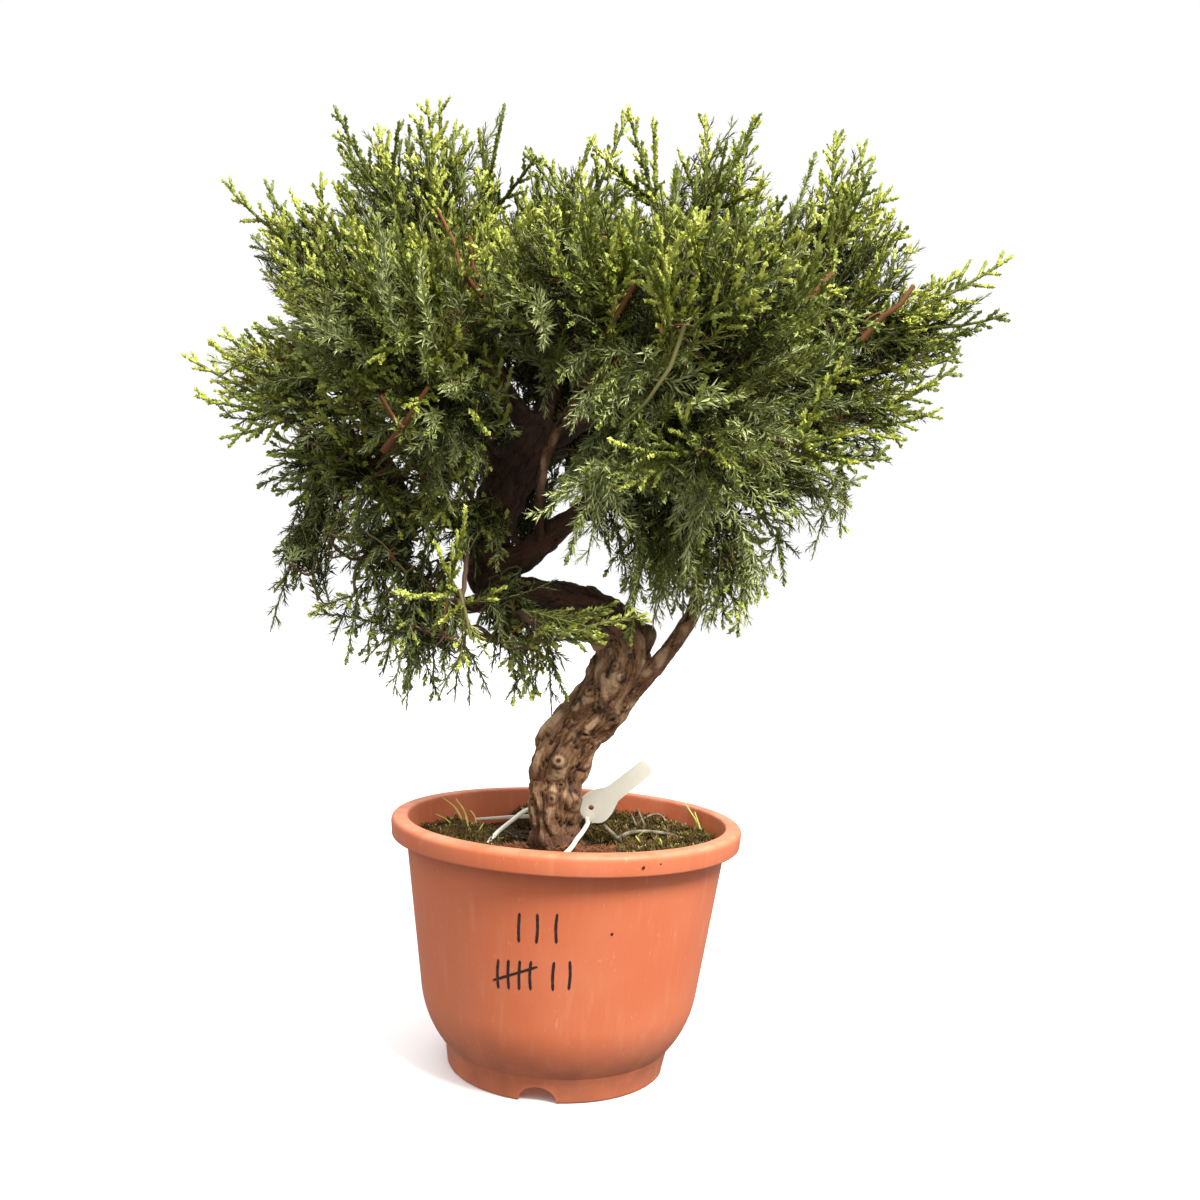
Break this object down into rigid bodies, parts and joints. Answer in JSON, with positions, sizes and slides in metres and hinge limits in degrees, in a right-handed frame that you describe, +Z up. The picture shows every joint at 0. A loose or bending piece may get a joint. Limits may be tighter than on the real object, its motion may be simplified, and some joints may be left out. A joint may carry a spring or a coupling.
{
  "type": "juniper bonsai in a pot",
  "caption": "Small juniper trained as an informal upright bonsai, with a curved trunk and feathery foliage, planted in a round orange plastic nursery pot.",
  "frame": {"origin": "on the surface the pot stands on, under the middle of the whole plant's outline", "axes": "+Z up, -Y towards the front of the bonsai, +X to the right as seen from the front"},
  "size_m": [0.471, 0.368, 0.553],
  "materials": {
    "orange_plastic": "matt moulded terracotta-orange polypropylene, lightly scuffed",
    "soil": "dark moist potting soil",
    "moss": "olive moss cushions",
    "bark": "flaky brown and grey juniper bark",
    "needles": "green needles and scale leaves",
    "cream_plastic": "satin cream plastic"
  },
  "bodies": {
    "root": {"pot": "orange_plastic", "soil": "soil", "moss_right": "moss", "moss_left": "moss", "trunk_lower": "bark", "trunk_crook": "bark", "trunk_upper": "bark", "right_lower_bough": "bark", "pruned_stub": "bark", "left_bough": "bark", "right_bough": "bark", "low_left_bough": "bark", "hooked_bough": "bark", "low_middle_bough": "bark", "front_low_left_bough": "bark", "front_bare_bough": "bark", "left_upper_bough": "bark", "left_hanging_bough": "bark", "crown_left_bough": "bark", "crown_middle_bough": "bark", "crown_right_bough": "bark", "far_right_bough": "bark", "right_top_bough": "bark", "back_left_bough": "bark", "back_middle_bough": "bark", "back_right_bough": "bark", "back_low_right_bough": "bark", "front_left_bough": "bark", "front_right_bough": "bark", "front_right_upper_bough": "bark", "crown_left_mass": "needles", "crown_middle_mass": "needles", "crown_right_mass": "needles", "right_top_mass": "needles", "right_tip_mass": "needles", "right_middle_mass": "needles", "right_low_mass": "needles", "right_hanging_mass": "needles", "centre_hanging_mass": "needles", "left_top_mass": "needles", "left_tip_mass": "needles", "left_low_mass": "needles", "left_hanging_mass": "needles", "low_left_mass": "needles", "bottom_left_mass": "needles", "bottom_middle_mass": "needles", "front_low_left_mass": "needles", "front_left_mass": "needles", "front_middle_mass": "needles", "front_right_mass": "needles", "front_low_right_mass": "needles", "front_low_middle_mass": "needles", "back_left_mass": "needles", "back_middle_mass": "needles", "back_right_mass": "needles", "back_low_left_mass": "needles", "back_low_right_mass": "needles", "inner_back_mass": "needles", "plant_label": "cream_plastic", "label_strap": "cream_plastic"}
  },
  "joints": []
}
